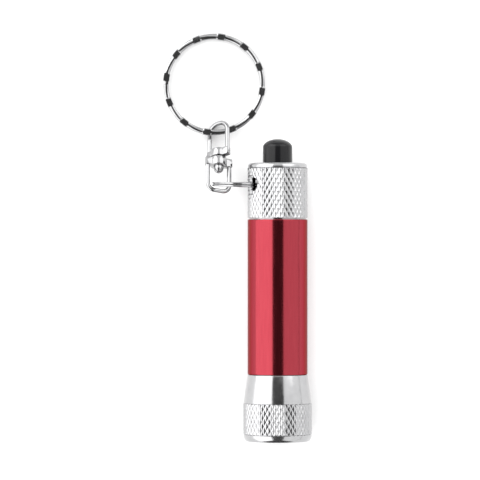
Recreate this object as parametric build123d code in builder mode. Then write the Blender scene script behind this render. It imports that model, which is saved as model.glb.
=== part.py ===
from build123d import *
from math import asin, cos, radians, sin, tan
import os

# Keychain flashlight lying on a table, millimetres, +Z up. The torch lies along Y with
# its light towards -Y and its push button towards +Y. Stations are distances along the
# torch axis from the bezel face. The origin is under the middle of the whole object.

# ---- Driving dimensions ----
OVERALL_LENGTH = 95.6          # bezel face to the far side of the key ring
TUBE_RADIUS = 7.0
HEAD_RADIUS = 8.0              # over the knurl; the torch rests on it
TUBE_BORE = 6.2
TUBE_FRONT = 15.55
TUBE_BACK = 51.7
SEAL_SEAT_RADIUS = 6.6         # counterbore for the O-ring at each end of the tube
HEAD_SEAT_DEPTH = 1.4
CAP_SEAT_DEPTH = 2.1

BEZEL_FACE_RADIUS = 7.4
KNURL_FRONT = 1.45
KNURL_BACK = 8.6
CONE_FRONT_RADIUS = 7.85
HEAD_BACK = 15.5
POCKET_RADIUS = 6.6
POCKET_DEPTH = 13.2
SPIGOT_BORE = 5.4
HEAD_SPIGOT_END = 20.9

CAP_FRONT = 51.8
CAP_SPIGOT_FRONT = 46.8
CAP_BACK = 64.9
CAP_ROUND = 1.1
CAP_WALL = 1.5                 # end wall the button comes through
BUTTON_RADIUS = 3.45
BUTTON_HOLE_RADIUS = 3.58
BUTTON_TRAVEL = 1.45
BUTTON_TOP = 70.5
DOME_HEIGHT = 1.9

THREAD_PITCH = 1.0
MALE_ROOT = 6.05
MALE_CREST = 6.43
FEMALE_ROOT = 6.58
HEAD_THREAD_START = 17.2
CAP_THREAD_START = 46.95
MALE_THREAD_LENGTH = 3.1
GROOVE_RADIUS = 5.95           # bottom of each spigot's O-ring groove
GROOVE_NEAR = 0.4              # its two walls, from the spigot's shoulder
GROOVE_FAR = 1.2
SEAL_WIRE_RADIUS = 0.3

CELL_RADIUS = 5.8
CELL_HEIGHT = 5.4
CELL_COUNT = 4
CELL_STACK_FRONT = 22.6

LED_COUNT = 3
LED_CIRCLE = 3.4
LED_RADIUS = 2.5
BOARD_FRONT = 12.2

SMALL_RING_RADIUS = 5.38       # middle of the wire
SMALL_RING_OFFSET = 9.45       # ring centre to torch axis
SMALL_RING_TURN = 1.0          # degrees it leans towards the button at its free end
RING_HOLE_STATION = 59.9
RING_HOLE_RADIUS = 1.55
SMALL_WIRE_WIDTH = 1.15
SMALL_WIRE_THICK = 0.56

SWIVEL_OFFSET = 13.8           # swivel axis to torch axis
SWIVEL_SLOPE = 24.0            # degrees it drops towards the key ring
SWIVEL_STATION = 66.15         # joint between its two halves
SWIVEL_HEIGHT = 5.014
LOOP_WIRE_RADIUS = 0.53
LOOP_HALF_WIDTH = 2.65         # wire centre to swivel axis
UPPER_ROLL = 38.0
LOWER_ROLL = -20.0
UPPER_REACH = 8.97             # from the joint to the far end of each loop's wire centre
UPPER_CORNER = 2.5
LOWER_REACH = 8.48
LOWER_CORNER = 1.65
BLOCK_THICK = 2.1
SWIVEL_GAP = 0.26
RIVET_RADIUS = 0.9
RIVET_CLEARANCE = 0.06

KEY_RING_RADIUS = 11.35        # middle of the wire
KEY_WIRE_WIDTH = 1.5
KEY_WIRE_THICK = 0.64
KEY_RING_OFFSET = 14.84        # ring centre to torch axis
KEY_RING_NEAR_HEIGHT = 2.33    # middle of the coil where it hangs in the upper loop
KEY_RING_FAR_HEIGHT = 0.57     # and at its far side
COIL_GAP = 0.03                # air between the two turns of a split ring

# ---- Frame worked out from them ----
key_ring_left = KEY_RING_OFFSET + KEY_RING_RADIUS + KEY_WIRE_WIDTH / 2
TORCH_X = (key_ring_left - HEAD_RADIUS) / 2
FRONT_Y = -OVERALL_LENGTH / 2
TORCH_Z = HEAD_RADIUS
TORCH_AXIS = Axis((TORCH_X, FRONT_Y, TORCH_Z), (0, 1, 0))
# Half section of the torch: x is the radius, y the station.
HALF_SECTION = Plane(origin=(TORCH_X, FRONT_Y, TORCH_Z), x_dir=(1, 0, 0), z_dir=(0, 0, 1))


def station(distance):
    """Plane across the torch axis; its x is +X and its y points down."""
    return Plane(origin=(TORCH_X, FRONT_Y + distance, TORCH_Z), x_dir=(1, 0, 0), z_dir=(0, 1, 0))


def turned(*outline, mode=Mode.ADD):
    """Turn an outline of (radius, station) corners about the torch axis."""
    with BuildSketch(HALF_SECTION) as section:
        with BuildLine():
            Polyline(*outline, close=True)
        make_face()
    revolve(section.sketch, axis=TORCH_AXIS, mode=mode)


def disc(outer, inner, front, back):
    """A ring, washer or sleeve on the torch axis."""
    turned((inner, front), (outer, front), (outer, back), (inner, back))


def thread(radius, depth, root_half, crest_half, start, length, mode):
    """A right-hand ridge or groove of trapezoid section wound round the torch axis."""
    foot = Vector(TORCH_X, FRONT_Y + start, TORCH_Z)
    with BuildLine() as path:
        Helix(THREAD_PITCH, length, radius, center=foot, direction=(0, 1, 0))
    begin = path.line @ 0
    across = Plane(origin=begin, x_dir=begin - foot, z_dir=path.line % 0)
    with BuildSketch(across) as tooth:
        with BuildLine():
            Polyline((0, -root_half), (depth, -crest_half), (depth, crest_half), (0, root_half), close=True)
        make_face()
    sweep(tooth.sketch, path=path.line, is_frenet=True, mode=mode)


def male_thread(start):
    """Outside thread of a spigot."""
    inside = 0.02
    thread(MALE_ROOT - inside, MALE_CREST - MALE_ROOT + inside, 0.4, 0.1, start, MALE_THREAD_LENGTH, Mode.ADD)


def female_thread(start, length):
    """Thread groove in the tube's bore, in step with the spigot's ridge."""
    inside = 0.02
    thread(TUBE_BORE - inside, FEMALE_ROOT - TUBE_BORE + inside, 0.46, 0.16, start, length, Mode.SUBTRACT)


def coil_spring(front, back, front_radius, back_radius, wire_radius, turns):
    """A wire spring on the torch axis between two stations, straight or conical."""
    rise = back - front - 2 * wire_radius
    foot = (TORCH_X, FRONT_Y + front + wire_radius, TORCH_Z)
    flare = Vector(rise, back_radius - front_radius, 0).get_angle(Vector(1, 0, 0))
    lean = flare if back_radius > front_radius else -flare
    with BuildLine() as path:
        Helix(rise / turns, rise, front_radius, center=foot, direction=(0, 1, 0), cone_angle=lean)
    with BuildSketch(Plane(origin=path.line @ 0, z_dir=path.line % 0)) as wire:
        Circle(wire_radius)
    sweep(wire.sketch, path=path.line, is_frenet=True)


def split_ring(plane, radius, width, thick, lefthand):
    """Flat wire coiled twice, centred on the plane, with both its ends at the plane's x."""
    pitch = thick + COIL_GAP
    coil = Helix(pitch, 2 * pitch, radius, center=(0, 0, -pitch), lefthand=lefthand, mode=Mode.PRIVATE)
    path = plane.location * coil
    with BuildSketch(Plane(origin=path @ 0, x_dir=plane.x_dir, z_dir=path % 0)) as wire:
        RectangleRounded(width, thick, thick * 0.3)
    sweep(wire.sketch, path=path, is_frenet=True)


def finish(built, label):
    """Name a finished piece and write its file."""
    built.part.label = label
    export_step(built.part, f"parts/{label}.step")


os.makedirs("parts", exist_ok=True)

# ---- Barrel: red tube with the battery cells in their sleeve ----
edge = 0.25
with BuildPart() as body_tube:
    seat_front = TUBE_FRONT + HEAD_SEAT_DEPTH
    seat_back = TUBE_BACK - CAP_SEAT_DEPTH
    turned(
        (SEAL_SEAT_RADIUS, TUBE_FRONT),
        (TUBE_RADIUS - edge, TUBE_FRONT),
        (TUBE_RADIUS, TUBE_FRONT + edge),
        (TUBE_RADIUS, TUBE_BACK - edge),
        (TUBE_RADIUS - edge, TUBE_BACK),
        (SEAL_SEAT_RADIUS, TUBE_BACK),
        (SEAL_SEAT_RADIUS, seat_back),
        (TUBE_BORE, seat_back - edge),
        (TUBE_BORE, seat_front + edge),
        (SEAL_SEAT_RADIUS, seat_front),
    )
    female_thread(HEAD_THREAD_START - THREAD_PITCH, 6 * THREAD_PITCH)
    female_thread(CAP_THREAD_START - 2 * THREAD_PITCH, 5.4 * THREAD_PITCH)
finish(body_tube, "body_tube")

cell_stack_back = CELL_STACK_FRONT + CELL_COUNT * CELL_HEIGHT
with BuildPart() as battery_sleeve:
    disc(6.12, CELL_RADIUS + 0.05, CELL_STACK_FRONT - 0.6, cell_stack_back + 0.6)
finish(battery_sleeve, "battery_sleeve")

for number in range(CELL_COUNT):
    front = CELL_STACK_FRONT + number * CELL_HEIGHT
    back = front + CELL_HEIGHT
    with BuildPart() as cell:
        turned(
            (0, front),
            (CELL_RADIUS - 0.3, front),
            (CELL_RADIUS, front + 0.3),
            (CELL_RADIUS, back - 0.6),
            (CELL_RADIUS - 0.35, back - 0.25),
            (4.8, back - 0.25),
            (4.6, back),
            (0, back),
        )
    finish(cell, f"battery_cell_{number + 1}")

# ---- Head: knurled shell with its lens, held in from the front ----
bezel_step = HEAD_RADIUS - BEZEL_FACE_RADIUS
bezel_round = (bezel_step**2 + KNURL_FRONT**2) / (2 * bezel_step)
with BuildPart() as head_shell:
    with BuildSketch(HALF_SECTION):
        with BuildLine():
            Line((POCKET_RADIUS, 0), (BEZEL_FACE_RADIUS, 0))
            RadiusArc((BEZEL_FACE_RADIUS, 0), (HEAD_RADIUS, KNURL_FRONT), -bezel_round)
            Polyline(
                (HEAD_RADIUS, KNURL_FRONT),
                (HEAD_RADIUS, KNURL_BACK - 0.15),
                (CONE_FRONT_RADIUS, KNURL_BACK),
                (TUBE_RADIUS, HEAD_BACK),
                (MALE_ROOT, HEAD_BACK),
                (MALE_ROOT, HEAD_BACK + GROOVE_NEAR),
                (GROOVE_RADIUS, HEAD_BACK + GROOVE_NEAR),
                (GROOVE_RADIUS, HEAD_BACK + GROOVE_FAR),
                (MALE_ROOT, HEAD_BACK + GROOVE_FAR),
                (MALE_ROOT, HEAD_SPIGOT_END),
                (SPIGOT_BORE, HEAD_SPIGOT_END),
                (SPIGOT_BORE, POCKET_DEPTH),
                (POCKET_RADIUS, POCKET_DEPTH),
                (POCKET_RADIUS, 0),
            )
        make_face()
    revolve(axis=TORCH_AXIS)
    male_thread(HEAD_THREAD_START)
finish(head_shell, "head_shell")

window_radius = 5.9
lens_radius = POCKET_RADIUS - 0.1
seal_front = 1.2
lens_front = 1.6
lens_back = 2.8
with BuildPart() as lens_ring:
    turned(
        (window_radius, 0.5),
        (6.2, 0.1),
        (POCKET_RADIUS - 0.05, 0.1),
        (POCKET_RADIUS - 0.05, seal_front),
        (window_radius, seal_front),
    )
finish(lens_ring, "lens_ring")

with BuildPart() as lens_seal:
    disc(lens_radius, window_radius, seal_front, lens_front)
finish(lens_seal, "lens_seal")

with BuildPart() as lens:
    disc(lens_radius, 0, lens_front, lens_back)
finish(lens, "lens")

groove_middle = (GROOVE_NEAR + GROOVE_FAR) / 2
seal_clearance = 0.03
seal_radius = SEAL_SEAT_RADIUS - seal_clearance - SEAL_WIRE_RADIUS
with BuildPart(station(HEAD_BACK + groove_middle)) as head_o_ring:
    Torus(seal_radius, SEAL_WIRE_RADIUS)
finish(head_o_ring, "head_o_ring")

# ---- Light module: slides with the head but does not turn ----
reflector_front = 2.9
reflector_back = 9.2
cup_depth = 3.4
cup_mouth_radius = 2.85
led_hole_radius = LED_RADIUS + 0.08
with BuildPart() as reflector:
    disc(POCKET_RADIUS - 0.15, 0, reflector_front, reflector_back)
    with BuildSketch(station(reflector_front)) as cup_mouths:
        with PolarLocations(LED_CIRCLE, LED_COUNT, start_angle=90):
            Circle(cup_mouth_radius)
    with BuildSketch(station(reflector_front + cup_depth)) as cup_floors:
        with PolarLocations(LED_CIRCLE, LED_COUNT, start_angle=90):
            Circle(led_hole_radius)
    for mouth, floor in zip(cup_mouths.sketch.faces(), cup_floors.sketch.faces()):
        loft([mouth, floor], mode=Mode.SUBTRACT)
    with BuildSketch(station(reflector_front + cup_depth)):
        with PolarLocations(LED_CIRCLE, LED_COUNT, start_angle=90):
            Circle(led_hole_radius)
    extrude(amount=reflector_back - reflector_front - cup_depth, mode=Mode.SUBTRACT)
finish(reflector, "reflector")

led_height = 8.6
led_rim_radius = LED_RADIUS + 0.38
led_rim_front = led_height - 1
led_front = BOARD_FRONT - led_height
for number in range(LED_COUNT):
    angle = radians(90 + number * 360 / LED_COUNT)
    led_plane = station(led_front)
    centre = led_plane.from_local_coords((LED_CIRCLE * cos(angle), LED_CIRCLE * sin(angle), 0))
    section_plane = Plane(origin=centre, x_dir=(1, 0, 0), z_dir=(0, 0, 1))
    with BuildPart() as led:
        with BuildSketch(section_plane):
            with BuildLine():
                RadiusArc((0, 0), (LED_RADIUS, LED_RADIUS), -LED_RADIUS)
                Polyline(
                    (LED_RADIUS, LED_RADIUS),
                    (LED_RADIUS, led_rim_front),
                    (led_rim_radius, led_rim_front),
                    (led_rim_radius, led_height),
                    (0, led_height),
                    (0, 0),
                )
            make_face()
        revolve(axis=Axis(centre, (0, 1, 0)))
    finish(led, f"led_{number + 1}")

board_radius = 6.4
with BuildPart() as led_board:
    disc(board_radius, 0, BOARD_FRONT, POCKET_DEPTH)
finish(led_board, "led_board")

carrier_floor = 17.5
carrier_back = 19.8
carrier_bore = 4.3
carrier_radius = SPIGOT_BORE - 0.1
stud_radius = 1.1
with BuildPart() as contact_carrier:
    turned(
        (carrier_bore, POCKET_DEPTH),
        (carrier_radius, POCKET_DEPTH),
        (carrier_radius, carrier_back),
        (stud_radius, carrier_back),
        (stud_radius, carrier_floor),
        (carrier_bore, carrier_floor),
    )
finish(contact_carrier, "contact_carrier")

resistor_radius = 0.85
resistor_length = 3.6
with BuildPart(station(POCKET_DEPTH + 1.0)) as series_resistor:
    Cylinder(resistor_radius, resistor_length, rotation=(0, 90, 0))
finish(series_resistor, "series_resistor")

head_thick = 0.3
with BuildPart() as front_contact:
    turned(
        (0, carrier_floor - head_thick),
        (1.6, carrier_floor - head_thick),
        (1.6, carrier_floor),
        (stud_radius, carrier_floor),
        (stud_radius, carrier_back),
        (2.2, carrier_back),
        (2.2, carrier_back + head_thick),
        (0, carrier_back + head_thick),
    )
finish(front_contact, "front_contact")

with BuildPart() as front_spring:
    coil_spring(carrier_back + 0.35, CELL_STACK_FRONT - 0.05, 1.8, 3.2, 0.22, 3)
finish(front_spring, "front_spring")

# ---- Tail cap ----
cavity_back = CAP_BACK - CAP_WALL
hole_angle = 33.6
with BuildPart() as tail_cap:
    with BuildSketch(HALF_SECTION):
        with BuildLine():
            Polyline(
                (TUBE_RADIUS, CAP_BACK - CAP_ROUND),
                (TUBE_RADIUS, CAP_FRONT + edge),
                (TUBE_RADIUS - edge, CAP_FRONT),
                (MALE_ROOT, CAP_FRONT),
                (MALE_ROOT, CAP_FRONT - GROOVE_NEAR),
                (GROOVE_RADIUS, CAP_FRONT - GROOVE_NEAR),
                (GROOVE_RADIUS, CAP_FRONT - GROOVE_FAR),
                (MALE_ROOT, CAP_FRONT - GROOVE_FAR),
                (MALE_ROOT, CAP_SPIGOT_FRONT),
                (SPIGOT_BORE, CAP_SPIGOT_FRONT),
                (SPIGOT_BORE, cavity_back),
                (BUTTON_HOLE_RADIUS, cavity_back),
                (BUTTON_HOLE_RADIUS, CAP_BACK),
                (TUBE_RADIUS - CAP_ROUND, CAP_BACK),
            )
            RadiusArc((TUBE_RADIUS - CAP_ROUND, CAP_BACK), (TUBE_RADIUS, CAP_BACK - CAP_ROUND), CAP_ROUND)
        make_face()
    revolve(axis=TORCH_AXIS)
    male_thread(CAP_THREAD_START)
    for side in (-1, 1):
        lean = radians(180 + side * hole_angle)
        outward = (cos(lean), 0, sin(lean))
        hole_foot = (TORCH_X, FRONT_Y + RING_HOLE_STATION, TORCH_Z)
        with BuildSketch(Plane(origin=hole_foot, x_dir=(0, 1, 0), z_dir=outward)):
            Circle(RING_HOLE_RADIUS)
        extrude(amount=TUBE_RADIUS + 1, mode=Mode.SUBTRACT)
finish(tail_cap, "tail_cap")

with BuildPart(station(CAP_FRONT - groove_middle)) as tail_o_ring:
    Torus(seal_radius, SEAL_WIRE_RADIUS)
finish(tail_o_ring, "tail_o_ring")

retainer_front = 47.4
housing_front = 48.8
with BuildPart() as retaining_ring:
    disc(SPIGOT_BORE, 4.5, retainer_front, housing_front)
finish(retaining_ring, "retaining_ring")

# ---- Switch module: slides with the cap but does not turn ----
housing_back = 57.2
chamber_front = 50.4
chamber_back = 56.0
chamber_radius = 4.1
housing_radius = SPIGOT_BORE - 0.1
plunger_radius = 1.65
with BuildPart() as switch_housing:
    turned(
        (stud_radius, housing_front),
        (housing_radius, housing_front),
        (housing_radius, housing_back),
        (plunger_radius + 0.08, housing_back),
        (plunger_radius + 0.08, chamber_back),
        (chamber_radius, chamber_back),
        (chamber_radius, chamber_front),
        (stud_radius, chamber_front),
    )
finish(switch_housing, "switch_housing")

with BuildPart() as tail_contact:
    turned(
        (0, housing_front - head_thick),
        (2.3, housing_front - head_thick),
        (2.3, housing_front),
        (stud_radius, housing_front),
        (stud_radius, chamber_front),
        (2.0, chamber_front),
        (2.0, chamber_front + head_thick),
        (0, chamber_front + head_thick),
    )
finish(tail_contact, "tail_contact")

with BuildPart() as tail_spring:
    coil_spring(cell_stack_back + 0.05, housing_front - 0.35, 3.6, 1.9, 0.25, 4)
finish(tail_spring, "tail_spring")

# ---- Push button with its plunger, moving contact and return spring ----
flange_front = 62.7
flange_back = cavity_back - 0.05
flange_radius = 4.3
plunger_front = 52.6
plunger_back = 66.5
with BuildPart() as push_button:
    with BuildSketch(HALF_SECTION):
        with BuildLine():
            Polyline(
                (0, BUTTON_TOP),
                (0, plunger_back),
                (plunger_radius, plunger_back),
                (plunger_radius, flange_front),
                (flange_radius, flange_front),
                (flange_radius, flange_back),
                (BUTTON_RADIUS, flange_back),
                (BUTTON_RADIUS, BUTTON_TOP - DOME_HEIGHT),
            )
            Spline(
                (BUTTON_RADIUS, BUTTON_TOP - DOME_HEIGHT),
                (BUTTON_RADIUS * 0.66, BUTTON_TOP - DOME_HEIGHT * 0.3),
                (0, BUTTON_TOP),
                tangents=[(0, 1), (-1, 0)],
            )
        make_face()
    revolve(axis=TORCH_AXIS)
finish(push_button, "push_button")

with BuildPart() as plunger:
    disc(plunger_radius, 0, plunger_front, plunger_back)
finish(plunger, "plunger")

with BuildPart() as moving_contact:
    disc(3.2, 0, plunger_front - 0.4, plunger_front)
finish(moving_contact, "moving_contact")

with BuildPart() as return_spring:
    coil_spring(housing_back + 0.05, flange_front - 0.05, 2.35, 2.35, 0.18, 6)
finish(return_spring, "return_spring")

# ---- Small split ring through the two holes of the cap ----
ring_centre_station = RING_HOLE_STATION + 3.62 * tan(radians(SMALL_RING_TURN))
small_ring_plane = Plane(
    origin=(TORCH_X - SMALL_RING_OFFSET, FRONT_Y + ring_centre_station, TORCH_Z),
    x_dir=(cos(radians(SMALL_RING_TURN)), -sin(radians(SMALL_RING_TURN)), 0),
    z_dir=(sin(radians(SMALL_RING_TURN)), cos(radians(SMALL_RING_TURN)), 0),
)
with BuildPart() as small_ring:
    split_ring(small_ring_plane, SMALL_RING_RADIUS, SMALL_WIRE_WIDTH, SMALL_WIRE_THICK, True)
finish(small_ring, "small_ring")

# ---- Swivel: two wire loops, each on a block, riveted end to end ----
slope = radians(SWIVEL_SLOPE)
swivel_direction = Vector(0, cos(slope), -sin(slope))
swivel_up = Vector(0, sin(slope), cos(slope))
swivel_middle = Vector(TORCH_X - SWIVEL_OFFSET, FRONT_Y + SWIVEL_STATION, SWIVEL_HEIGHT)


def swivel_plane(distance, roll):
    """Plane across the swivel axis, rolled about it; x is the loop's width."""
    width = Vector(1, 0, 0) * cos(radians(roll)) + swivel_up * sin(radians(roll))
    return Plane(origin=swivel_middle + swivel_direction * distance, x_dir=width, z_dir=swivel_direction)


def loop_plane(roll):
    """Plane of a loop: x is its width, y runs along the swivel towards the key ring."""
    across = swivel_plane(0, roll)
    return Plane(origin=swivel_middle, x_dir=across.x_dir, z_dir=across.x_dir.cross(swivel_direction))


def swivel_half(roll, side, reach, corner):
    """Wire loop and oval block on one side (+1 or -1) of the swivel joint."""
    block_near = side * SWIVEL_GAP / 2
    block_middle = side * (SWIVEL_GAP + BLOCK_THICK) / 2
    width = LOOP_HALF_WIDTH
    with BuildSketch(swivel_plane(block_near, roll)) as oval:
        Ellipse(width + LOOP_WIRE_RADIUS + 0.12, 2.0)
    extrude(oval.sketch, amount=side * BLOCK_THICK)
    with BuildLine(loop_plane(roll)) as wire_path:
        FilletPolyline(
            (-width, block_middle),
            (-width, side * reach),
            (width, side * reach),
            (width, block_middle),
            radius=corner,
        )
    with BuildSketch(Plane(origin=wire_path.line @ 0, z_dir=wire_path.line % 0)) as wire:
        Circle(LOOP_WIRE_RADIUS)
    sweep(wire.sketch, path=wire_path.line)


rivet_hole = RIVET_RADIUS + RIVET_CLEARANCE
block_back = SWIVEL_GAP / 2 + BLOCK_THICK
recess_depth = 0.6
recess_radius = 1.4
with BuildPart() as swivel_upper:
    swivel_half(UPPER_ROLL, 1, UPPER_REACH, UPPER_CORNER)
    with BuildSketch(swivel_plane(0, 0)):
        Circle(rivet_hole)
    extrude(amount=block_back + 0.5, mode=Mode.SUBTRACT)
    with BuildSketch(swivel_plane(block_back - recess_depth, 0)):
        Circle(recess_radius)
    extrude(amount=2 * recess_depth, mode=Mode.SUBTRACT)
finish(swivel_upper, "swivel_upper")

with BuildPart() as swivel_lower:
    swivel_half(LOWER_ROLL, -1, LOWER_REACH, LOWER_CORNER)
    with BuildSketch(swivel_plane(0, 0)):
        Circle(RIVET_RADIUS)
    extrude(amount=-block_back - 0.5, mode=Mode.SUBTRACT)
finish(swivel_lower, "swivel_lower")

dome_edge = 0.5
dome_radius = 1.2
dome_tip = dome_edge + dome_radius
with BuildPart() as swivel_rivet:
    with BuildSketch(swivel_plane(-block_back, 0)):
        Circle(RIVET_RADIUS)
    extrude(amount=2 * block_back - 0.05)
    with BuildSketch(swivel_plane(block_back - 0.55, 0)):
        Circle(1.33)
    extrude(amount=0.5)
    with BuildSketch(Plane(origin=swivel_plane(-block_back, 0).origin, x_dir=(1, 0, 0), z_dir=swivel_up)):
        with BuildLine():
            Polyline((0, -dome_tip), (0, 0), (dome_radius, 0), (dome_radius, -dome_edge))
            CenterArc((0, -dome_edge), dome_radius, -90, 90)
        make_face()
    revolve(axis=Axis(swivel_middle, swivel_direction))
finish(swivel_rivet, "swivel_rivet")

# ---- Key ring: leans from the upper loop down to the table ----
key_ring_lean = asin((KEY_RING_NEAR_HEIGHT - KEY_RING_FAR_HEIGHT) / (2 * KEY_RING_RADIUS))
key_ring_middle = Vector(
    TORCH_X - KEY_RING_OFFSET,
    OVERALL_LENGTH / 2 - KEY_RING_RADIUS - KEY_WIRE_WIDTH / 2,
    (KEY_RING_NEAR_HEIGHT + KEY_RING_FAR_HEIGHT) / 2,
)
key_ring_up = (0, sin(key_ring_lean), cos(key_ring_lean))
key_ring_plane = Plane(origin=key_ring_middle, x_dir=(-1, 0, 0), z_dir=key_ring_up)
with BuildPart() as key_ring:
    split_ring(key_ring_plane, KEY_RING_RADIUS, KEY_WIRE_WIDTH, KEY_WIRE_THICK, False)
finish(key_ring, "key_ring")
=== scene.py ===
import math

import bmesh
import bpy
from mathutils import Matrix, Vector


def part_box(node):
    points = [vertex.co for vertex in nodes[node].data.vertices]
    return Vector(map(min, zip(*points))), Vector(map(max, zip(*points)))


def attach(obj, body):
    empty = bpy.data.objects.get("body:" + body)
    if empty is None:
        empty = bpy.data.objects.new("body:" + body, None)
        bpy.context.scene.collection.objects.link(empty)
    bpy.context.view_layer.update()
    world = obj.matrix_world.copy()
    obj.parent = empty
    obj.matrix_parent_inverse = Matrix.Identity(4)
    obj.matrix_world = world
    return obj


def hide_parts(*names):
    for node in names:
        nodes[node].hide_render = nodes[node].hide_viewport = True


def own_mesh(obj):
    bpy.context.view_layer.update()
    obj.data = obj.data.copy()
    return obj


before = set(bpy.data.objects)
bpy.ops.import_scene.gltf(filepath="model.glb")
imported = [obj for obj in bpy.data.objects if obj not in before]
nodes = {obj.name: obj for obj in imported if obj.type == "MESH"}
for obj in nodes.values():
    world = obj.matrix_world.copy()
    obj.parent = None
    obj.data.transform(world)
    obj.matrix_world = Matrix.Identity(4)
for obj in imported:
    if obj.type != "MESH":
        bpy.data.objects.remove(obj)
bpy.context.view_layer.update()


# ---------------------------------------------------------------- body tube
# The barrel is a length of aluminium tube, turned to length with a small bevel
# at each end, threaded inside both ends, dyed red in the anodising bath and
# lacquered. The tail cap and the head screw into it.

MM = 0.001
tube_low, tube_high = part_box("body_tube")
AXIS_X = (tube_low.x + tube_high.x) / 2
AXIS_Z = (tube_low.z + tube_high.z) / 2
BEZEL_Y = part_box("head_shell")[0].y
TUBE_RADIUS = (tube_high.x - tube_low.x) / 2 / MM
TUBE_FRONT = (tube_low.y - BEZEL_Y) / MM
TUBE_BACK = (tube_high.y - BEZEL_Y) / MM
TUBE_BORE = 6.2
SEAL_SEAT = 6.6
HEAD_SEAT_DEPTH = 1.4
CAP_SEAT_DEPTH = 2.1
PITCH = 1.0
THREAD_DEPTH = 0.38
THREAD_STEP = 0.09
ARC_STEPS = 5
DIAMOND_LENGTH = 2.0
STEPS_PER_DIAMOND = 8


def run(radius, start, stop, step):
    """Evenly spaced points along a straight stretch of a turned outline."""
    count = max(1, round(abs(stop - start) / step))
    return [(radius, start + (stop - start) * i / count) for i in range(count + 1)]


def turned_outline(corners):
    """Outline points in millimetres: a corner with a third number is rounded by that much."""
    points = []
    for i, corner in enumerate(corners):
        here = Vector(corner[:2])
        if len(corner) == 2:
            points.append(here)
            continue
        back = (Vector(corners[i - 1][:2]) - here).normalized()
        ahead = (Vector(corners[(i + 1) % len(corners)][:2]) - here).normalized()
        start, end = here + back * corner[2], here + ahead * corner[2]
        for k in range(ARC_STEPS + 1):
            t = k / ARC_STEPS
            points.append(start * (1 - t) ** 2 + here * 2 * t * (1 - t) + end * t**2)
    return points


def mesh_object(name, bm, sharp=30):
    """Finish a bmesh into an object: merged, faces outward, smooth but for sharp edges."""
    bmesh.ops.remove_doubles(bm, verts=bm.verts, dist=1e-7)
    bmesh.ops.recalc_face_normals(bm, faces=bm.faces)
    mesh = bpy.data.meshes.new(name)
    bm.to_mesh(mesh)
    bm.free()
    mesh.shade_smooth()
    mesh.set_sharp_from_angle(angle=math.radians(sharp))
    piece = bpy.data.objects.new(name, mesh)
    bpy.context.scene.collection.objects.link(piece)
    return piece


def turn_on_lathe(name, corners, steps=192, cut=None, diamonds=(), sharp=30):
    """Turn a closed outline of (radius, station) about the torch axis.

    cut gives the radius worked into the surface; the stretch between the two stations in
    diamonds is filled with a lattice of small diamonds instead of straight strips.
    """
    bm = bmesh.new()
    outline = turned_outline(corners)

    def ring(radius, along, shift=0.0):
        verts = []
        for i in range(steps):
            angle = 2 * math.pi * (i + shift) / steps
            r = (cut(radius, along, angle) if cut else radius) * MM
            place = (AXIS_X + r * math.cos(angle), BEZEL_Y + along * MM, AXIS_Z + r * math.sin(angle))
            verts.append(bm.verts.new(place))
        return verts

    rings = [ring(*point) for point in outline]
    for k, here in enumerate(rings):
        n = (k + 1) % len(rings)
        after = rings[n]
        start, stop = outline[k][1], outline[n][1]
        if diamonds and abs(start - diamonds[0]) < 1e-4 and abs(stop - diamonds[1]) < 1e-4:
            count = 2 * round((stop - start) / DIAMOND_LENGTH * STEPS_PER_DIAMOND)
            rows = [here]
            for r in range(1, count):
                rows.append(ring(outline[k][0], start + (stop - start) * r / count, 0.5 * (r % 2)))
            rows.append(after)
            for i in range(steps):
                j = (i + 1) % steps
                bm.faces.new((rows[0][i], rows[1][i], rows[0][j]))
                bm.faces.new((rows[-1][i], rows[-1][j], rows[-2][i]))
                for r in range(count - 1):
                    if r % 2:
                        bm.faces.new((rows[r][i], rows[r + 1][i], rows[r + 2][i], rows[r + 1][j]))
                    else:
                        bm.faces.new((rows[r][i], rows[r + 1][i - 1], rows[r + 2][i], rows[r + 1][i]))
            continue
        if outline[k][0] < 1e-6 and outline[n][0] < 1e-6:
            continue
        for i in range(steps):
            j = (i + 1) % steps
            bm.faces.new((here[i], after[i], after[j], here[j]))
    return mesh_object(name, bm, sharp)


def thread_wave(along, angle, start, stop):
    """0 in the root and 1 on the crest of a right-hand thread, fading out at both ends."""
    phase = (along / PITCH - angle / (2 * math.pi)) % 1
    flank = min(1, max(0, (0.5 - abs(phase - 0.5)) * 5 - 0.6))
    fade = min(1, max(0, (along - start) / 0.35), max(0, (stop - along) / 0.35))
    return flank * fade


def tube_threads(radius, along, angle):
    """Grooves inside both ends of the tube."""
    if abs(radius - TUBE_BORE) > 1e-6:
        return radius
    cuts = ((TUBE_FRONT + 1.2, TUBE_FRONT + 6.5), (TUBE_BACK - 6.6, TUBE_BACK - 1.8))
    return radius + THREAD_DEPTH * max(thread_wave(along, angle, a, b) for a, b in cuts)


def node_material(name, colour, **sockets):
    """A Principled material; whatever is the same all over is set on the shader's own sockets."""
    material = bpy.data.materials.new(name)
    material.use_nodes = True
    shader = material.node_tree.nodes["Principled BSDF"]
    shader.inputs["Base Color"].default_value = (*colour, 1)
    for socket, value in sockets.items():
        shader.inputs[socket.replace("_", " ")].default_value = value
    return material


def texture(material, kind, stretch=(1, 1, 1), **values):
    """A texture node read in the piece's own space, in metres times stretch."""
    tree = material.node_tree
    place = tree.nodes.new("ShaderNodeTexCoord")
    mapping = tree.nodes.new("ShaderNodeMapping")
    mapping.inputs["Scale"].default_value = stretch
    node = tree.nodes.new(kind)
    tree.links.new(place.outputs["Object"], mapping.inputs["Vector"])
    tree.links.new(mapping.outputs["Vector"], node.inputs["Vector"])
    for socket, value in values.items():
        node.inputs[socket].default_value = value
    return node.outputs[0] if kind != "ShaderNodeTexVoronoi" else node.outputs["Distance"]


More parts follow.
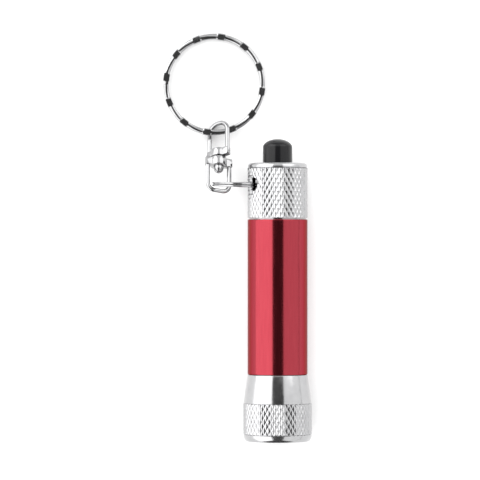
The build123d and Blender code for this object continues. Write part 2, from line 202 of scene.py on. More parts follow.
def spread(material, source, low, high, from_low=0.3, from_high=0.7):
    """Map a texture's middle range onto low..high."""
    node = material.node_tree.nodes.new("ShaderNodeMapRange")
    material.node_tree.links.new(source, node.inputs["Value"])
    sockets = {"From Min": from_low, "From Max": from_high, "To Min": low, "To Max": high}
    for socket, value in sockets.items():
        node.inputs[socket].default_value = value
    return node.outputs["Result"]


def drive(material, socket, source):
    """Link a worked-out value to one of the shader's sockets."""
    shader = material.node_tree.nodes["Principled BSDF"]
    material.node_tree.links.new(source, shader.inputs[socket])


def raise_surface(material, source, depth, strength=1.0):
    """Bump of that depth in metres, added over any bump already there."""
    tree = material.node_tree
    shader = tree.nodes["Principled BSDF"]
    bump = tree.nodes.new("ShaderNodeBump")
    bump.inputs["Distance"].default_value = depth
    bump.inputs["Strength"].default_value = strength
    tree.links.new(source, bump.inputs["Height"])
    if shader.inputs["Normal"].is_linked:
        tree.links.new(shader.inputs["Normal"].links[0].from_socket, bump.inputs["Normal"])
    tree.links.new(bump.outputs["Normal"], shader.inputs["Normal"])


def mix_colours(material, factor, first, second):
    """Blend two colours by a factor."""
    node = material.node_tree.nodes.new("ShaderNodeMix")
    node.data_type = "RGBA"
    material.node_tree.links.new(factor, node.inputs["Factor"])
    node.inputs["A"].default_value = (*first, 1)
    node.inputs["B"].default_value = (*second, 1)
    return node.outputs["Result"]


def colour_by(material, source, first, second, from_low=0.3, from_high=0.7):
    """Let a texture's middle range blend the material's colour from first to second."""
    factor = spread(material, source, 0, 1, from_low, from_high)
    drive(material, "Base Color", mix_colours(material, factor, first, second))


def dress(material, *names):
    """Give CAD nodes this material."""
    for name in names:
        mesh = nodes[name].data
        mesh.materials.clear()
        mesh.materials.append(material)


def stand_for(piece, body, slot, material, *replaced):
    """A finished piece: its material, its body and the CAD nodes it stands for; the slot argument is not
    used.
    """
    piece.data.materials.append(material)
    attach(piece, body)
    if replaced:
        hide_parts(*replaced)


anodised = node_material(
    "red_anodised",
    (0.42, 0.015, 0.03),
    Metallic=1.0,
    Roughness=0.2,
    Coat_Weight=0.3,
    Coat_Roughness=0.1,
    Coat_IOR=1.45,
    Specular_Tint=(0.45, 0.16, 0.18, 1),
)
grain = texture(anodised, "ShaderNodeTexNoise", (900, 26, 900), Scale=6.0, Detail=4.0)
colour_by(anodised, grain, (0.285, 0.024, 0.038), (0.325, 0.032, 0.046))
drive(anodised, "Roughness", spread(anodised, grain, 0.14, 0.2))
turning_lines = texture(anodised, "ShaderNodeTexNoise", (60, 14000, 60), Scale=1.0, Detail=2.0)
raise_surface(anodised, turning_lines, 0.0000012, 0.5)

body_tube = turn_on_lathe(
    "body_tube_red",
    [
        (SEAL_SEAT, TUBE_FRONT, 0.08),
        (TUBE_RADIUS, TUBE_FRONT, 0.22),
        (TUBE_RADIUS, TUBE_FRONT + 0.6),
        (TUBE_RADIUS, TUBE_BACK - 0.6),
        (TUBE_RADIUS, TUBE_BACK, 0.22),
        (SEAL_SEAT, TUBE_BACK, 0.08),
        (SEAL_SEAT, TUBE_BACK - CAP_SEAT_DEPTH),
        *run(TUBE_BORE, TUBE_BACK - CAP_SEAT_DEPTH - 0.25, TUBE_BACK - 7, THREAD_STEP),
        *run(TUBE_BORE, TUBE_FRONT + 7, TUBE_FRONT + HEAD_SEAT_DEPTH + 0.25, THREAD_STEP),
        (SEAL_SEAT, TUBE_FRONT + HEAD_SEAT_DEPTH),
    ],
    cut=tube_threads,
)
stand_for(body_tube, "barrel", "red_anodised", anodised, "body_tube")


# ---------------------------------------------------------------- head
# The head is turned from aluminium bar and bright plated. Its front is knurled with
# a diamond pattern for grip, a plain cone runs back from that to the tube, and a
# threaded spigot with an O-ring screws into the tube.

HEAD_RADIUS = 8.0
HEAD_BACK = 15.5
HEAD_KNURL = (1.73, 8.73)
HEAD_DIAMONDS = 44
KNURL_DEPTH = 0.17
BEZEL_ROUNDING = 2.05
BEZEL_DEPTH = 1.45
SPIGOT_BACK = 20.9
HEAD_THREAD = (17.5, 21.1)
POCKET_DEPTH = 13.2
SEAL_GROOVE = 0.1
MALE_ROOT = 6.05
MALE_CREST = 6.43
SPIGOT_BORE = 5.4
POCKET = 6.6


def diamond_knurl(radius, along, angle, outer, count, zone):
    """Two crossing sets of V grooves leave flat-topped diamonds between the stations of zone."""
    if abs(radius - outer) > 1e-6 or not zone[0] - 1e-6 <= along <= zone[1] + 1e-6:
        return radius
    around = angle * count / (2 * math.pi)
    down = (along - zone[0]) / DIAMOND_LENGTH
    rise = [1 - abs(2 * ((around + side * down) % 1) - 1) for side in (1, -1)]
    return radius - KNURL_DEPTH * (1 - min(1, 1.35 * min(rise)))


def head_cut(radius, along, angle):
    """Knurl on the front of the head and thread on its spigot."""
    if abs(radius - MALE_ROOT) < 1e-6:
        return radius + (MALE_CREST - MALE_ROOT) * thread_wave(along + 0.5, angle, *HEAD_THREAD)
    return diamond_knurl(radius, along, angle, HEAD_RADIUS, HEAD_DIAMONDS, HEAD_KNURL)


bright = node_material("bright_metal", (0.62, 0.62, 0.625), Metallic=1.0, Roughness=0.16)
polish = texture(bright, "ShaderNodeTexNoise", (80, 9000, 80), Scale=1.0, Detail=3.0)
cloud = texture(bright, "ShaderNodeTexNoise", (1, 1, 1), Scale=420.0, Detail=3.0)
drive(bright, "Roughness", spread(bright, cloud, 0.12, 0.2))
colour_by(bright, cloud, (0.4, 0.4, 0.407), (0.45, 0.45, 0.455))
raise_surface(bright, polish, 0.000001, 0.4)

bezel = []
for k in range(6):
    lean = math.pi / 4 * (1 - k / 5)
    bezel_radius = HEAD_RADIUS - BEZEL_ROUNDING * (1 - math.cos(lean))
    bezel.append((bezel_radius, BEZEL_DEPTH - BEZEL_ROUNDING * math.sin(lean)))

head_shell = turn_on_lathe(
    "head_shell_knurled",
    [
        (POCKET, 0, 0.08),
        *bezel,
        (HEAD_RADIUS - KNURL_DEPTH, HEAD_KNURL[0] - 0.1),
        (HEAD_RADIUS, HEAD_KNURL[0]),
        (HEAD_RADIUS, HEAD_KNURL[1]),
        (HEAD_RADIUS - KNURL_DEPTH, HEAD_KNURL[1] + 0.08),
        (HEAD_RADIUS - 0.06, HEAD_KNURL[1] + 0.2, 0.04),
        (TUBE_RADIUS, HEAD_BACK - 0.02, 0.15),
        (MALE_ROOT, HEAD_BACK),
        (MALE_ROOT, HEAD_BACK + 0.4),
        (MALE_ROOT - SEAL_GROOVE, HEAD_BACK + 0.45),
        (MALE_ROOT - SEAL_GROOVE, HEAD_BACK + 1.15),
        *run(MALE_ROOT, HEAD_BACK + 1.2, SPIGOT_BACK - 0.3, THREAD_STEP),
        (MALE_ROOT - 0.15, SPIGOT_BACK, 0.05),
        (SPIGOT_BORE, SPIGOT_BACK, 0.1),
        (SPIGOT_BORE, POCKET_DEPTH),
        (POCKET, POCKET_DEPTH),
    ],
    steps=HEAD_DIAMONDS * STEPS_PER_DIAMOND,
    cut=head_cut,
    diamonds=HEAD_KNURL,
    sharp=24,
)
stand_for(head_shell, "head", "bright_metal", bright, "head_shell")


# ---------------------------------------------------------------- tail cap
# The tail cap is turned and knurled like the head, with a plain rounded end that the
# button comes through. Two holes drilled in its side meet inside and take the small ring.

CAP_FRONT = 51.8
CAP_BACK = 64.9
CAP_KNURL = (52.15, 63.65)
CAP_DIAMONDS = 38
CAP_WALL_FRONT = 63.4
CAP_SPIGOT_FRONT = 46.8
CAP_THREAD = (46.9, 50.6)
BUTTON_HOLE = 3.58
RING_HOLE_STATION = 59.9
RING_HOLE_RADIUS = 1.62
RING_HOLE_LEAN = 33.6


def cap_cut(radius, along, angle):
    """Knurl on the cap and thread on its spigot."""
    if abs(radius - MALE_ROOT) < 1e-6:
        return radius + (MALE_CREST - MALE_ROOT) * thread_wave(along + 0.5, angle, *CAP_THREAD)
    return diamond_knurl(radius, along, angle, TUBE_RADIUS, CAP_DIAMONDS, CAP_KNURL)


tail_cap = turn_on_lathe(
    "tail_cap_knurled",
    [
        (TUBE_RADIUS - 0.3, CAP_FRONT, 0.05),
        (TUBE_RADIUS - KNURL_DEPTH, CAP_KNURL[0] - 0.05),
        (TUBE_RADIUS, CAP_KNURL[0]),
        (TUBE_RADIUS, CAP_KNURL[1]),
        (TUBE_RADIUS - KNURL_DEPTH, CAP_KNURL[1] + 0.08),
        (TUBE_RADIUS - 0.06, CAP_KNURL[1] + 0.2),
        (TUBE_RADIUS - 0.06, CAP_BACK, 0.95),
        (BUTTON_HOLE, CAP_BACK, 0.15),
        (BUTTON_HOLE, CAP_WALL_FRONT),
        (SPIGOT_BORE, CAP_WALL_FRONT),
        (SPIGOT_BORE, CAP_SPIGOT_FRONT, 0.1),
        (MALE_ROOT - 0.15, CAP_SPIGOT_FRONT, 0.05),
        *run(MALE_ROOT, CAP_SPIGOT_FRONT + 0.2, CAP_FRONT - 1.25, THREAD_STEP),
        (MALE_ROOT - SEAL_GROOVE, CAP_FRONT - 1.2),
        (MALE_ROOT - SEAL_GROOVE, CAP_FRONT - 0.4),
        (MALE_ROOT, CAP_FRONT - 0.35),
        (MALE_ROOT, CAP_FRONT),
    ],
    steps=CAP_DIAMONDS * STEPS_PER_DIAMOND,
    cut=cap_cut,
    diamonds=CAP_KNURL,
    sharp=24,
)


def loft(bm, rings):
    """Skin a row of equal rings of points, given in metres, with quads, and close both ends."""
    made = [[bm.verts.new(p) for p in ring] for ring in rings]
    size = len(made[0])
    for here, after in zip(made, made[1:]):
        for i in range(size):
            bm.faces.new((here[i], here[(i + 1) % size], after[(i + 1) % size], after[i]))
    bm.faces.new(made[0])
    bm.faces.new(made[-1])


def drill(piece, foot, direction, radius, depth):
    """Cut a round hole into a mesh, from a point inside it outward."""
    side = direction.orthogonal().normalized()
    other = direction.cross(side)
    bm = bmesh.new()
    turns = [2 * math.pi * i / 40 for i in range(40)]
    rim = [(side * math.cos(a) + other * math.sin(a)) * radius for a in turns]
    loft(bm, [[foot + direction * d + point for point in rim] for d in (0, depth)])
    bit = mesh_object("drill_bit", bm)
    cutting = piece.modifiers.new("drill", "BOOLEAN")
    cutting.object = bit
    cutting.operation = "DIFFERENCE"
    cutting.solver = "EXACT"
    cut_mesh = bpy.data.meshes.new_from_object(piece.evaluated_get(bpy.context.evaluated_depsgraph_get()))
    piece.modifiers.clear()
    piece.data = cut_mesh
    bpy.data.objects.remove(bit)


hole_foot = Vector((AXIS_X, BEZEL_Y + RING_HOLE_STATION * MM, AXIS_Z))
for side in (-1, 1):
    lean = math.radians(180 + side * RING_HOLE_LEAN)
    outward = Vector((math.cos(lean), 0, math.sin(lean)))
    drill(tail_cap, hole_foot, outward, RING_HOLE_RADIUS * MM, 9 * MM)
tail_cap.data.materials.clear()
stand_for(tail_cap, "tail_cap", "bright_metal", bright, "tail_cap")


# ---------------------------------------------------------------- push button
# The button is a moulded plug of glossy black plastic with a domed end. Its flange is
# trapped inside the cap's end wall and the spring behind it pushes it out again.

BUTTON_RADIUS = 3.45
BUTTON_TOP = 70.5
DOME_HEIGHT = 1.9
STEM_BORE = (1.65, 66.5)
FLANGE = (4.3, 62.7, 63.35)

button_black = node_material("button_black", (0.008, 0.008, 0.009), Roughness=0.16, IOR=1.33)
skin = texture(button_black, "ShaderNodeTexNoise", (1, 1, 1), Scale=1600.0, Detail=3.0)
drive(button_black, "Roughness", spread(button_black, skin, 0.13, 0.24))
raise_surface(button_black, skin, 0.000004, 0.25)

dome = []
for k in range(20, -1, -1):
    lean = k * math.pi / 40
    dome.append((BUTTON_RADIUS * math.sin(lean), BUTTON_TOP - DOME_HEIGHT * (1 - math.cos(lean) ** 1.1)))

push_button = turn_on_lathe(
    "push_button_domed",
    [
        STEM_BORE,
        (STEM_BORE[0], FLANGE[1]),
        (FLANGE[0], FLANGE[1], 0.1),
        (FLANGE[0], FLANGE[2], 0.1),
        (BUTTON_RADIUS, FLANGE[2]),
        *dome,
        (0, STEM_BORE[1]),
    ],
    steps=96,
    sharp=40,
)
stand_for(push_button, "button", "button_black", button_black, "push_button")


# ---------------------------------------------------------------- small ring
# The small split ring is flat spring wire coiled twice and nickel plated. It was opened
# with a blade and wound through both holes of the cap.

plated = node_material("plated_steel", (0.62, 0.62, 0.63), Metallic=1.0, Roughness=0.1)
haze = texture(plated, "ShaderNodeTexNoise", (1, 1, 1), Scale=700.0, Detail=4.0)
drive(plated, "Roughness", spread(plated, haze, 0.07, 0.14))
colour_by(plated, haze, (0.34, 0.34, 0.346), (0.4, 0.4, 0.404))
draw_marks = texture(plated, "ShaderNodeTexNoise", (1, 1, 1), Scale=2600.0, Detail=2.0)
raise_surface(plated, draw_marks, 0.0000015, 0.3)

COIL_GAP = 0.03
SMALL_RING_RADIUS = 5.38
SMALL_WIRE = (1.08, 0.54)
SMALL_RING_TURN = math.radians(1)


def rounded_section(width, thick, squareness, points=20):
    """Outline of a wire: 2 is an ellipse, larger is squarer."""
    outline = []
    for i in range(points):
        a = 2 * math.pi * (i + 0.5) / points
        c, s = math.cos(a), math.sin(a)
        x = math.copysign(abs(c) ** (2 / squareness), c) * width / 2
        y = math.copysign(abs(s) ** (2 / squareness), s) * thick / 2
        outline.append((x, y))
    return outline


def wire_coil(name, middle, x_dir, y_dir, radius, wire, wire_at, steps=360, taper=0.28):
    """Two turns of wire round a centre.

    wire_at(angle) gives the wire's width, thickness, squareness and roll there; both ends thin out.
    """
    up = x_dir.cross(y_dir)
    if up.y + up.z < 0:
        up = -up
    pitch = wire[1] + COIL_GAP
    bm = bmesh.new()
    rings = []
    for k in range(2 * steps + 1):
        turn = 2 * math.pi * k / steps
        out = x_dir * math.cos(turn) + y_dir * math.sin(turn)
        width, thick, squareness, roll = wire_at(turn % (2 * math.pi))
        wide = out * math.cos(roll) + up * math.sin(roll)
        high = up * math.cos(roll) - out * math.sin(roll)
        to_end = min(turn, 4 * math.pi - turn)
        keep = min(1, 0.3 + 0.7 * to_end / taper)
        shift = (1 - keep) * thick / 2 * (1 if turn < 2 * math.pi else -1)
        height = pitch * (turn / (2 * math.pi) - 1) + shift
        centre = middle + (out * radius + up * height) * MM
        section = rounded_section(width, thick * keep, squareness)
        rings.append([centre + (wide * x + high * y) * MM for x, y in section])
    loft(bm, rings)
    return mesh_object(name, bm, 40)


small_low, small_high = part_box("small_ring")
small_x = Vector((math.cos(SMALL_RING_TURN), -math.sin(SMALL_RING_TURN), 0))
small_ring = wire_coil(
    "small_ring_coil",
    (small_low + small_high) / 2,
    small_x,
    Vector((0, 0, 1)),
    SMALL_RING_RADIUS,
    SMALL_WIRE,
    lambda turn: (*SMALL_WIRE, 2.8, 0),
)
stand_for(small_ring, "small_ring", "plated_steel", plated, "small_ring")


# ---------------------------------------------------------------- swivel
# The swivel joins the small ring to the key ring. Each half is a loop of round wire cast
# into a block, a round barrel with a flat ear on each side, and a rivet lets one block
# turn on the other. A block's sizes are its width, its barrel's and its length.

SWIVEL_OFFSET = 13.8
SWIVEL_STATION = 66.15
SWIVEL_HEIGHT = 5.014
SWIVEL_MIDDLE = Vector((AXIS_X - SWIVEL_OFFSET * MM, BEZEL_Y + SWIVEL_STATION * MM, SWIVEL_HEIGHT * MM))
SWIVEL_SLOPE = math.radians(24)
SWIVEL_ALONG = Vector((0, math.cos(SWIVEL_SLOPE), -math.sin(SWIVEL_SLOPE)))
SWIVEL_UP = Vector((0, math.sin(SWIVEL_SLOPE), math.cos(SWIVEL_SLOPE)))
LOOP_HALF = 2.65
LOOP_WIRE = 0.53
BLOCK_NEAR = 0.13
LOWER_BLOCK = (6.5, 3.9, 2.1)
UPPER_BLOCK = (6.1, 3.5, 1.9)
EAR_THICK = 1.5
BLOCK_EDGE = 0.18
RIVET_HOLE = 0.96
RIVET_RECESS = (1.4, 0.6)
UPPER_REACH = 8.97
UPPER_CORNER = 2.5
UPPER_ROLL = math.radians(38)
LOWER_REACH = 8.48
LOWER_CORNER = 1.65
LOWER_ROLL = math.radians(-20)


def loop_path(reach, corner, start):
    """Centre line of a loop with its directions: up one leg, round two corners and down the other."""
    path = [(-LOOP_HALF, start, 0, 1), (-LOOP_HALF, reach - corner, 0, 1)]
    for k in range(1, 17):
        a = math.pi / 2 * k / 16
        x, y = -LOOP_HALF + corner * (1 - math.cos(a)), reach - corner * (1 - math.sin(a))
        path.append((x, y, math.sin(a), math.cos(a)))
    return path + [(-x, y, dx, -dy) for x, y, dx, dy in reversed(path)]


def barrel_with_ears(width, barrel, inset):
    """Outline of a block: a round barrel with a flat ear on each side for the leg of the loop."""
    w, t, r = width / 2 - inset, EAR_THICK / 2 - inset, barrel / 2 - inset
    quarter = [(w, 0), (w, t - 0.25), (w - 0.07, t - 0.07), (w - 0.25, t)]
    start = math.asin(t / r)
    turns = [start + (math.pi / 2 - start) * i / 10 for i in range(11)]
    quarter += [(r * math.cos(a), r * math.sin(a)) for a in turns]
    half = quarter + [(-x, y) for x, y in reversed(quarter[:-1])]
    return half + [(x, -y) for x, y in reversed(half[1:-1])]


def swivel_half(name, roll, side, block, reach, corner, holes=()):
    """A wire loop with its legs cast into a block, on one side of the swivel's joint.

    holes are (radius, start) of the holes along the joint's axis, drilled through to the far side.
    """
    across = Vector((1, 0, 0)) * math.cos(roll) + SWIVEL_UP * math.sin(roll)
    along = SWIVEL_ALONG * side
    flat = across.cross(along)
    bm = bmesh.new()
    layers = [(0, 1), (0.3, 0.3), (1, 0)]
    steps = [(e * BLOCK_EDGE, i * BLOCK_EDGE) for e, i in layers]
    steps += [(block[2] - e, i) for e, i in reversed(steps)]
    rings = []
    for height, inset in steps:
        centre = SWIVEL_MIDDLE + along * (BLOCK_NEAR + height) * MM
        outline = barrel_with_ears(block[0], block[1], inset)
        rings.append([centre + (across * x + flat * y) * MM for x, y in outline])
    loft(bm, rings)
    half = mesh_object(name, bm, 35)
    for radius, start in holes:
        drill(half, SWIVEL_MIDDLE + along * start * MM, along, radius * MM, 4 * MM)
    bm = bmesh.new()
    bm.from_mesh(half.data)
    rings = []
    for x, y, dx, dy in loop_path(reach, corner, BLOCK_NEAR + 1):
        centre = SWIVEL_MIDDLE + (across * x + along * y) * MM
        outward = across * dy - along * dx
        turns = [2 * math.pi * i / 20 for i in range(20)]
        rings.append([centre + (outward * math.cos(t) + flat * math.sin(t)) * LOOP_WIRE * MM for t in turns])
    loft(bm, rings)
    bpy.data.objects.remove(half)
    return mesh_object(name, bm, 35)


recess_floor = BLOCK_NEAR + UPPER_BLOCK[2] - RIVET_RECESS[1]
upper_holes = ((RIVET_HOLE, 0), (RIVET_RECESS[0], recess_floor))
upper = swivel_half("swivel_upper_loop", UPPER_ROLL, 1, UPPER_BLOCK, UPPER_REACH, UPPER_CORNER, upper_holes)
stand_for(upper, "swivel_upper", "plated_steel", plated, "swivel_upper")
lower = swivel_half("swivel_lower_loop", LOWER_ROLL, -1, LOWER_BLOCK, LOWER_REACH, LOWER_CORNER)
stand_for(lower, "swivel_lower", "plated_steel", plated, "swivel_lower")
dress(plated, "swivel_rivet")


# ---------------------------------------------------------------- key ring
# The key ring is spring wire coiled twice and pressed to look like bamboo: a square knot
# at every twelfth of a turn and a slimmer rounded stretch between. It hangs in the swivel.

KEY_RING_RADIUS = 11.35
KEY_WIRE = (1.5, 0.64)
KNOT_THICK = 0.62
KNOT_SQUARENESS = 10
SLIMMER = (0.28, 0.02)
KEY_RING_HEIGHTS = (2.33, 0.57)
KNOT_SPACING = math.radians(30)
KNOT_START = math.radians(21.6)
KNOT_HALF = math.radians(4.1)
NECK = math.radians(1.6)
ROLL = math.radians(26)


def bamboo(turn):
    """Wire at that angle: square at a knot, and slimmer, rounded and rolled to and fro between knots."""
    along = (turn - KNOT_START + KNOT_SPACING / 2) % KNOT_SPACING - KNOT_SPACING / 2
    if abs(along) < KNOT_HALF:
        return KEY_WIRE[0], KNOT_THICK, KNOT_SQUARENESS, 0
    slim = math.sin(min(1, (abs(along) - KNOT_HALF) / NECK) * math.pi / 2)
    middle = (turn - KNOT_START) % KNOT_SPACING / KNOT_SPACING - 0.5
    squareness = KNOT_SQUARENESS - (KNOT_SQUARENESS - 2) * slim**0.3
    return KEY_WIRE[0] - SLIMMER[0] * slim, KNOT_THICK - SLIMMER[1] * slim, squareness, ROLL * middle * slim


lean = math.asin((KEY_RING_HEIGHTS[0] - KEY_RING_HEIGHTS[1]) / (2 * KEY_RING_RADIUS))
key_low, key_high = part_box("key_ring")
key_middle = (key_low + key_high) / 2
key_middle.z = sum(KEY_RING_HEIGHTS) / 2 * MM
key_ring = wire_coil(
    "key_ring_bamboo",
    key_middle,
    Vector((-1, 0, 0)),
    Vector((0, -math.cos(lean), math.sin(lean))),
    KEY_RING_RADIUS,
    KEY_WIRE,
    bamboo,
    steps=720,
)
stand_for(key_ring, "key_ring", "plated_steel", plated, "key_ring")


# ---------------------------------------------------------------- light
# Three clear LEDs shine through a chromed reflector and a clear lens, which a snap ring
# and a seal hold in the head. Their board and contact carrier close the head from behind.

clear_lens = node_material(
    "clear_lens", (0.97, 0.985, 0.99), Roughness=0.03, IOR=1.49, Transmission_Weight=1.0
)
smear = texture(clear_lens, "ShaderNodeTexNoise", (1, 1, 1), Scale=300.0, Detail=3.0)
drive(clear_lens, "Roughness", spread(clear_lens, smear, 0.015, 0.05))
dress(clear_lens, "lens")

led_epoxy = node_material(
    "led_epoxy", (0.96, 0.97, 0.95), Roughness=0.04, IOR=1.53, Transmission_Weight=0.95
)
flow = texture(led_epoxy, "ShaderNodeTexNoise", (1, 1, 1), Scale=500.0, Detail=2.0)
drive(led_epoxy, "Roughness", spread(led_epoxy, flow, 0.02, 0.07))
dress(led_epoxy, "led_1", "led_2", "led_3")

lead_frame = node_material("lead_frame", (0.75, 0.74, 0.7), Metallic=1.0, Roughness=0.25)
stamping = texture(lead_frame, "ShaderNodeTexNoise", (1, 1, 1), Scale=2500.0, Detail=3.0)
drive(lead_frame, "Roughness", spread(lead_frame, stamping, 0.18, 0.36))
phosphor = node_material("phosphor", (0.85, 0.72, 0.12), Roughness=0.5)
powder = texture(phosphor, "ShaderNodeTexNoise", (1, 1, 1), Scale=6000.0, Detail=3.0)
colour_by(phosphor, powder, (0.8, 0.64, 0.08), (0.9, 0.78, 0.2))
POST_SIZES = ((-0.55, 0.9, 8.6, 12.0), (0.75, 0.5, 8.2, 12.0))
CHIP_OFFSET = POST_SIZES[0][0]


def stacked_sections(middle, rows, squareness, points):
    """Square or round sections of (station, width) along the torch, centred on middle."""
    rings = []
    for along, width in rows:
        section = rounded_section(width, width, squareness, points)
        rings.append([middle + Vector((x, along, y)) * MM for x, y in section])
    return rings


for number in (1, 2, 3):
    led_low, led_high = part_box(f"led_{number}")
    led_x, led_z = (led_low.x + led_high.x) / 2, (led_low.z + led_high.z) / 2
    bm = bmesh.new()
    for offset, width, front, back in POST_SIZES:
        middle = Vector((led_x + offset * MM, BEZEL_Y, led_z))
        rows = [(front, width), (front + 0.3, width), (front + 0.7, 0.5), (back, 0.5)]
        loft(bm, stacked_sections(middle, rows, 6, 16))
    posts = mesh_object(f"led_posts_{number}", bm)
    stand_for(posts, "light_module", "brass_contact", lead_frame)
    bm = bmesh.new()
    chip = Vector((led_x + CHIP_OFFSET * MM, BEZEL_Y, led_z))
    loft(bm, stacked_sections(chip, ((8.46, 0.5), (8.52, 0.68), (8.62, 0.7)), 2, 24))
    stand_for(mesh_object(f"led_chip_{number}", bm), "light_module", "led_epoxy", phosphor)

chrome = node_material("reflector_chrome", (0.86, 0.86, 0.87), Metallic=1.0, Roughness=0.08)
ripple = texture(chrome, "ShaderNodeTexNoise", (1, 1, 1), Scale=800.0, Detail=2.0)
drive(chrome, "Roughness", spread(chrome, ripple, 0.05, 0.13))
raise_surface(chrome, ripple, 0.000004, 0.2)
dress(chrome, "reflector")

dress(bright, "lens_ring")

rubber = node_material("black_rubber", (0.02, 0.02, 0.02), Roughness=0.6)
bloom = texture(rubber, "ShaderNodeTexNoise", (1, 1, 1), Scale=1800.0, Detail=4.0)
drive(rubber, "Roughness", spread(rubber, bloom, 0.5, 0.75))
raise_surface(rubber, bloom, 0.00001, 0.3)
dress(rubber, "lens_seal", "head_o_ring", "tail_o_ring")

board_green = node_material("circuit_board", (0.02, 0.16, 0.06), Roughness=0.4)
weave = texture(board_green, "ShaderNodeTexVoronoi", (1, 1, 1), Scale=2200.0)
colour_by(board_green, weave, (0.015, 0.12, 0.045), (0.03, 0.2, 0.075), 0.1, 0.6)
raise_surface(board_green, weave, 0.00001, 0.3)
dress(board_green, "led_board")

black_plastic = node_material("black_plastic", (0.018, 0.018, 0.02), Roughness=0.45)
mould = texture(black_plastic, "ShaderNodeTexNoise", (1, 1, 1), Scale=2400.0, Detail=3.0)
drive(black_plastic, "Roughness", spread(black_plastic, mould, 0.36, 0.55))
raise_surface(black_plastic, mould, 0.00001, 0.3)
dress(black_plastic, "contact_carrier", "switch_housing", "plunger")

ceramic = node_material("resistor_body", (0.25, 0.42, 0.5), Roughness=0.35)
speckle = texture(ceramic, "ShaderNodeTexNoise", (1, 1, 1), Scale=3000.0, Detail=3.0)
colour_by(ceramic, speckle, (0.2, 0.36, 0.44), (0.3, 0.47, 0.55))
dress(ceramic, "series_resistor")


# ---------------------------------------------------------------- contacts, springs and cells
# Brass contacts and wound springs carry the current from four button cells, stacked in a
# clear sleeve inside the tube, to the light at one end and the switch at the other.

brass = node_material("brass_contact", (0.75, 0.55, 0.25), Metallic=1.0, Roughness=0.3)
tarnish = texture(brass, "ShaderNodeTexNoise", (1, 1, 1), Scale=900.0, Detail=4.0)
colour_by(brass, tarnish, (0.62, 0.43, 0.18), (0.8, 0.6, 0.3))
drive(brass, "Roughness", spread(brass, tarnish, 0.22, 0.42))
dress(brass, "front_contact", "tail_contact", "retaining_ring", "moving_contact")

spring_steel = node_material("spring_steel", (0.62, 0.62, 0.63), Metallic=1.0, Roughness=0.25)
scale = texture(spring_steel, "ShaderNodeTexNoise", (1, 1, 1), Scale=1500.0, Detail=3.0)
drive(spring_steel, "Roughness", spread(spring_steel, scale, 0.18, 0.35))
dress(spring_steel, "front_spring", "tail_spring")


def wound_spring(name, start, stop, radius, wire, turns, steps=32):
    """A spring of round wire on the torch's axis between two stations."""
    along = Vector((0, 1, 0))
    bm = bmesh.new()
    rings = []
    count = turns * steps
    for k in range(count + 1):
        turn = 2 * math.pi * k / steps
        out = Vector((math.cos(turn), 0, math.sin(turn)))
        station = start + wire + (stop - start - 2 * wire) * k / count
        centre = Vector((AXIS_X, BEZEL_Y + station * MM, AXIS_Z)) + out * radius * MM
        section = [2 * math.pi * i / 10 for i in range(10)]
        rings.append([centre + (out * math.cos(t) + along * math.sin(t)) * wire * MM for t in section])
    loft(bm, rings)
    return mesh_object(name, bm, 40)


RETURN_SPRING = (57.25, 62.65)
RETURN_SPRING_RADIUS = 2.35
RETURN_SPRING_WIRE = 0.18
RETURN_SPRING_TURNS = 6
return_spring = wound_spring(
    "return_spring_coil", *RETURN_SPRING, RETURN_SPRING_RADIUS, RETURN_SPRING_WIRE, RETURN_SPRING_TURNS
)
stand_for(return_spring, "button", "spring_steel", spring_steel, "return_spring")
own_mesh(return_spring)

cell_steel = node_material("cell_steel", (0.7, 0.69, 0.66), Metallic=1.0, Roughness=0.25)
scuff = texture(cell_steel, "ShaderNodeTexNoise", (1, 1, 1), Scale=1100.0, Detail=5.0)
drive(cell_steel, "Roughness", spread(cell_steel, scuff, 0.18, 0.36))
colour_by(cell_steel, scuff, (0.64, 0.63, 0.6), (0.74, 0.73, 0.7))
dress(cell_steel, "battery_cell_1", "battery_cell_2", "battery_cell_3", "battery_cell_4")

sleeve_clear = node_material(
    "clear_sleeve", (0.9, 0.92, 0.92), Roughness=0.15, IOR=1.45, Transmission_Weight=0.9
)
film = texture(sleeve_clear, "ShaderNodeTexNoise", (1, 1, 1), Scale=600.0, Detail=3.0)
drive(sleeve_clear, "Roughness", spread(sleeve_clear, film, 0.1, 0.25))
dress(sleeve_clear, "battery_sleeve")
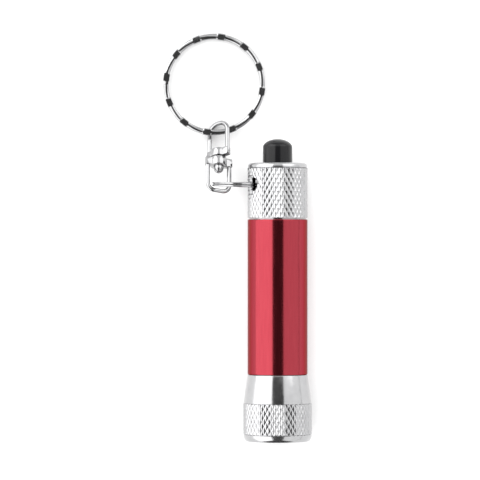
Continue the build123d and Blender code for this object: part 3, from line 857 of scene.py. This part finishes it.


# ---------------------------------------------------------------- floor, light and camera
# A white sheet that glows like a light table, with a painted contact shadow: its glow is dimmed
# where a piece lies close above it. A long soft panel stands on each side, the left one brighter,
# and one at the tail; the air straight above is left dark, and the camera looks straight down from there.

paper = node_material("white_sheet", (0.6, 0.6, 0.6), Roughness=0.9)
paper_grain = texture(paper, "ShaderNodeTexNoise", (1, 1, 1), Scale=120.0, Detail=3.0)
colour_by(paper, paper_grain, (0.44, 0.44, 0.44), (0.46, 0.46, 0.46))
# Painted contact shadow: ambient occlusion dims the sheet's glow wherever a piece lies close above it.
painted_contact_shadow = paper.node_tree.nodes.new("ShaderNodeAmbientOcclusion")
painted_contact_shadow.inputs["Distance"].default_value = 0.006
drive(paper, "Emission Color", painted_contact_shadow.outputs["Color"])
paper.node_tree.nodes["Principled BSDF"].inputs["Emission Strength"].default_value = 0.78

bm = bmesh.new()
corners = [bm.verts.new((x, y, 0)) for x, y in ((-2, -2), (2, -2), (2, 2), (-2, 2))]
bm.faces.new(corners)
floor = mesh_object("floor", bm)
floor.data.materials.append(paper)

PANEL_LENGTH = 1.6


def panel(name, high, low, brightness, turn=0):
    """A soft panel with its long edges through the points high and low, (x, z), turned about z."""
    high, low = Vector((high[0], 0, high[1])), Vector((low[0], 0, low[1]))
    light = bpy.data.lights.new(name, "AREA")
    light.shape = "RECTANGLE"
    light.size = (high - low).length
    light.size_y = PANEL_LENGTH
    light.energy = brightness * light.size * light.size_y
    lamp = bpy.data.objects.new(name, light)
    across = (low - high).normalized()
    facing = across.cross(Vector((0, 1, 0)))
    if facing.dot((high + low) / 2) < 0:
        facing = -facing
        across = -across
    aim = Matrix((across, Vector((0, 1, 0)), facing)).transposed().to_4x4()
    lamp.matrix_world = Matrix.Rotation(turn, 4, "Z") @ Matrix.Translation((high + low) / 2) @ aim
    bpy.context.scene.collection.objects.link(lamp)


panel("left_panel", (-0.2, 0.58), (-0.5, 0.0), 7.6)
panel("right_panel", (0.235, 0.58), (0.5, 0.02), 4.2)
panel("back_panel", (0.22, 0.56), (0.5, 0.1), 3.6, math.pi / 2)

world = bpy.data.worlds.new("studio")
world.use_nodes = True
world.node_tree.nodes["Background"].inputs["Color"].default_value = (0.1, 0.1, 0.1, 1)
bpy.context.scene.world = world
bpy.context.scene.view_settings.view_transform = "Standard"

CAMERA_PLACE = (0.0007, -0.0009, 0.786)
CAMERA_LENS = 250

view = bpy.data.cameras.new("camera")
view.lens = CAMERA_LENS
camera = bpy.data.objects.new("camera", view)
camera.location = CAMERA_PLACE
bpy.context.scene.collection.objects.link(camera)
bpy.context.scene.camera = camera
